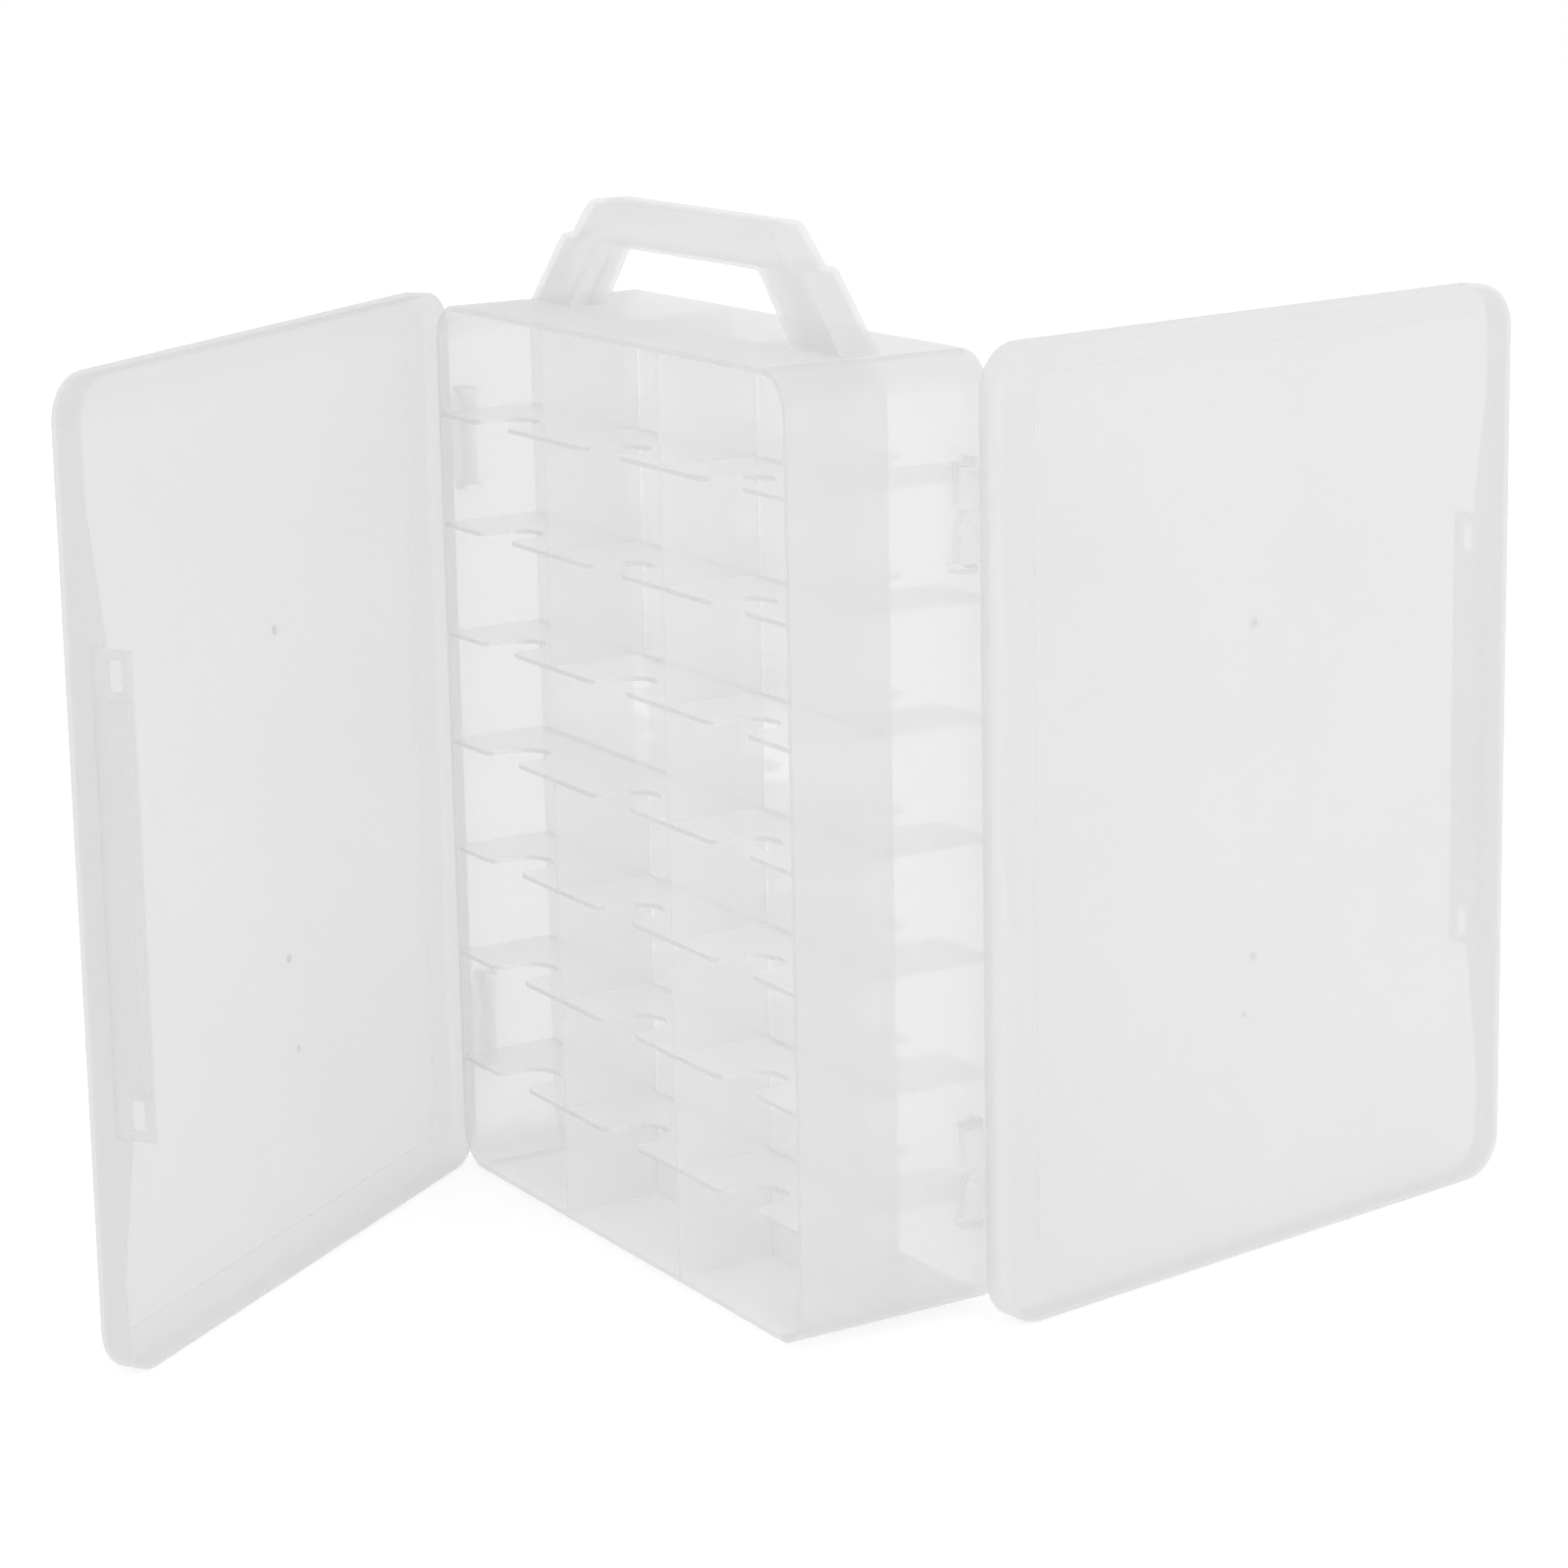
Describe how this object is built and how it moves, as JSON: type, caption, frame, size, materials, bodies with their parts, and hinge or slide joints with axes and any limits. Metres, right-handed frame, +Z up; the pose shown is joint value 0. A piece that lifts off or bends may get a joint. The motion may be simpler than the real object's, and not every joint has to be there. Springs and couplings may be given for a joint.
{
  "type": "thread storage box",
  "caption": "Upright double-sided thread box in translucent plastic: shelves and dividers on both sides, a hinged lid with a latch tab on each side, carrying handle.",
  "frame": {"origin": "on the floor, under the middle of the case", "axes": "+Z up, the front opening faces -Y, the rear opening faces +Y, +X is to the right seen from the front"},
  "size_m": [0.2793, 0.5179, 0.3734],
  "materials": {
    "case": "satin, translucent",
    "inner": "satin, translucent",
    "handle": "satin, translucent",
    "lid": "satin, translucent"
  },
  "bodies": {
    "case": {"case_left_wall": "case", "case_right_wall": "case", "case_top_wall": "case", "case_base": "case", "case_feet": "case", "centre_panel": "inner", "front_handle_half": "handle", "rear_handle_half": "handle", "front_shelf_1": "inner", "front_shelf_2": "inner", "front_shelf_3": "inner", "front_shelf_4": "inner", "front_shelf_5": "inner", "front_shelf_6": "inner", "front_shelf_7": "inner", "rear_shelf_1": "inner", "rear_shelf_2": "inner", "rear_shelf_3": "inner", "rear_shelf_4": "inner", "rear_shelf_5": "inner", "rear_shelf_6": "inner", "rear_shelf_7": "inner", "front_divider_left": "inner", "front_divider_right": "inner", "rear_divider_left": "inner", "rear_divider_right": "inner", "front_hinge_pin_upper": "handle", "front_hinge_pin_lower": "handle", "rear_hinge_pin_upper": "handle", "rear_hinge_pin_lower": "handle"},
    "front_lid_body": {"front_lid": "lid", "front_lid_knuckle_upper": "lid", "front_lid_knuckle_lower": "lid"},
    "front_latch_body": {"front_latch": "lid"},
    "rear_lid_body": {"rear_lid": "lid", "rear_lid_knuckle_upper": "lid", "rear_lid_knuckle_lower": "lid"},
    "rear_latch_body": {"rear_latch": "lid"}
  },
  "joints": [
    {"name": "front_lid_hinge", "type": "hinge", "parent": "case", "child": "front_lid_body", "pos_m": [-0.1275, -0.026, 0.1676], "axis": [0, 0, -1], "range_deg": [-55, 145]},
    {"name": "front_latch_flex", "type": "hinge", "parent": "front_lid_body", "child": "front_latch_body", "pos_m": [0.01454, -0.234, 0.1676], "axis": [0, 0, -1], "range_deg": [0, 15], "stiffness_Nm_per_rad": 0.05},
    {"name": "rear_lid_hinge", "type": "hinge", "parent": "case", "child": "rear_lid_body", "pos_m": [0.1275, 0.026, 0.1676], "axis": [0, 0, -1], "range_deg": [-82.5, 117.5]},
    {"name": "rear_latch_flex", "type": "hinge", "parent": "rear_lid_body", "child": "rear_latch_body", "pos_m": [0.09755, 0.27608, 0.1676], "axis": [0, 0, -1], "range_deg": [0, 15], "stiffness_Nm_per_rad": 0.05}
  ]
}
